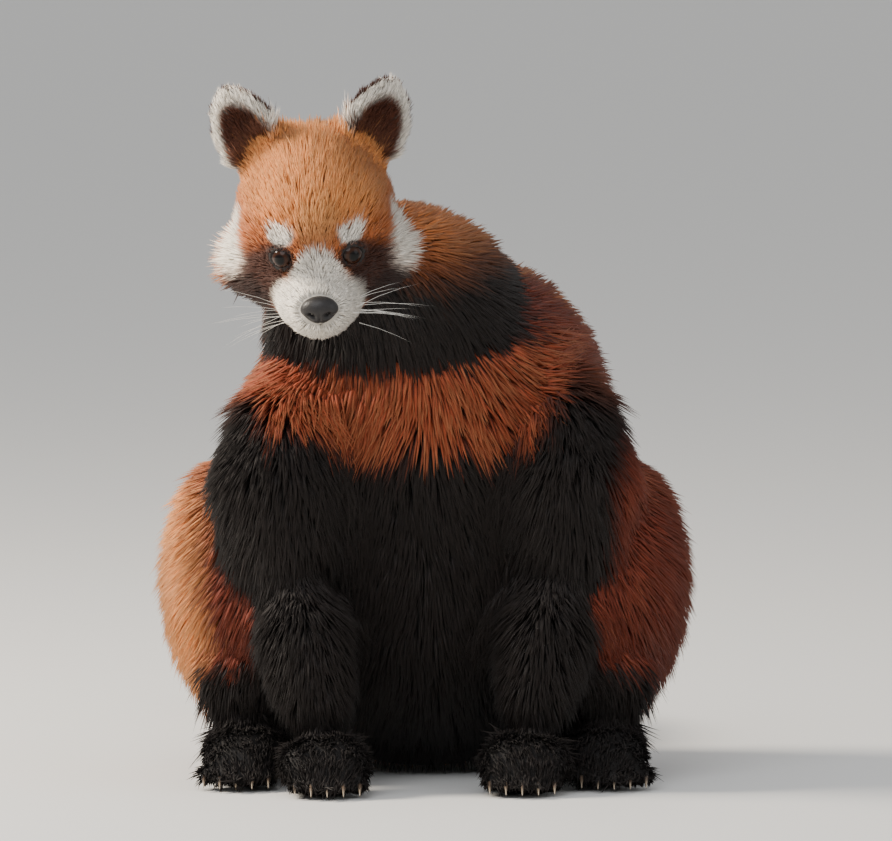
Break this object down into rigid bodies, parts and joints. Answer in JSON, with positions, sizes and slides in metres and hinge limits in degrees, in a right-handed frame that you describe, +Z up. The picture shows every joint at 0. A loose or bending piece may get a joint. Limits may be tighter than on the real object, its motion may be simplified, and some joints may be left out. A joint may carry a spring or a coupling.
{
  "type": "red panda",
  "caption": "Life-size still model of a red panda sitting hunched on its haunches, head lowered and turned to the viewer, ringed tail laid out behind",
  "frame": {"origin": "middle of the model's outline seen from above, at floor level", "axes": "+Z up, -Y the way the animal faces, +X the animal's left"},
  "size_m": [0.336, 0.6744, 0.4418],
  "materials": {
    "coat_red": "long soft fur",
    "coat_orange": "long soft fur",
    "coat_black": "dense dark fur",
    "coat_white": "soft pale fur",
    "eye": "wet gloss",
    "nose": "moist fine-grained"
  },
  "bodies": {
    "root": {"eye_left": "eye", "eye_right": "eye", "nose": "nose", "head": "coat_orange", "ear_left": "coat_white", "ear_right": "coat_white", "trunk": "coat_red", "neck": "coat_red", "tail_base": "coat_orange", "tail_middle": "coat_orange", "tail_tip": "coat_orange", "hindfoot_left": "coat_black", "forepaw_left": "coat_black", "thigh_left": "coat_red", "upper_foreleg_left": "coat_black", "lower_foreleg_left": "coat_black", "lower_hindleg_left": "coat_black", "hindfoot_right": "coat_black", "forepaw_right": "coat_black", "thigh_right": "coat_red", "upper_foreleg_right": "coat_black", "lower_foreleg_right": "coat_black", "lower_hindleg_right": "coat_black"}
  },
  "joints": []
}
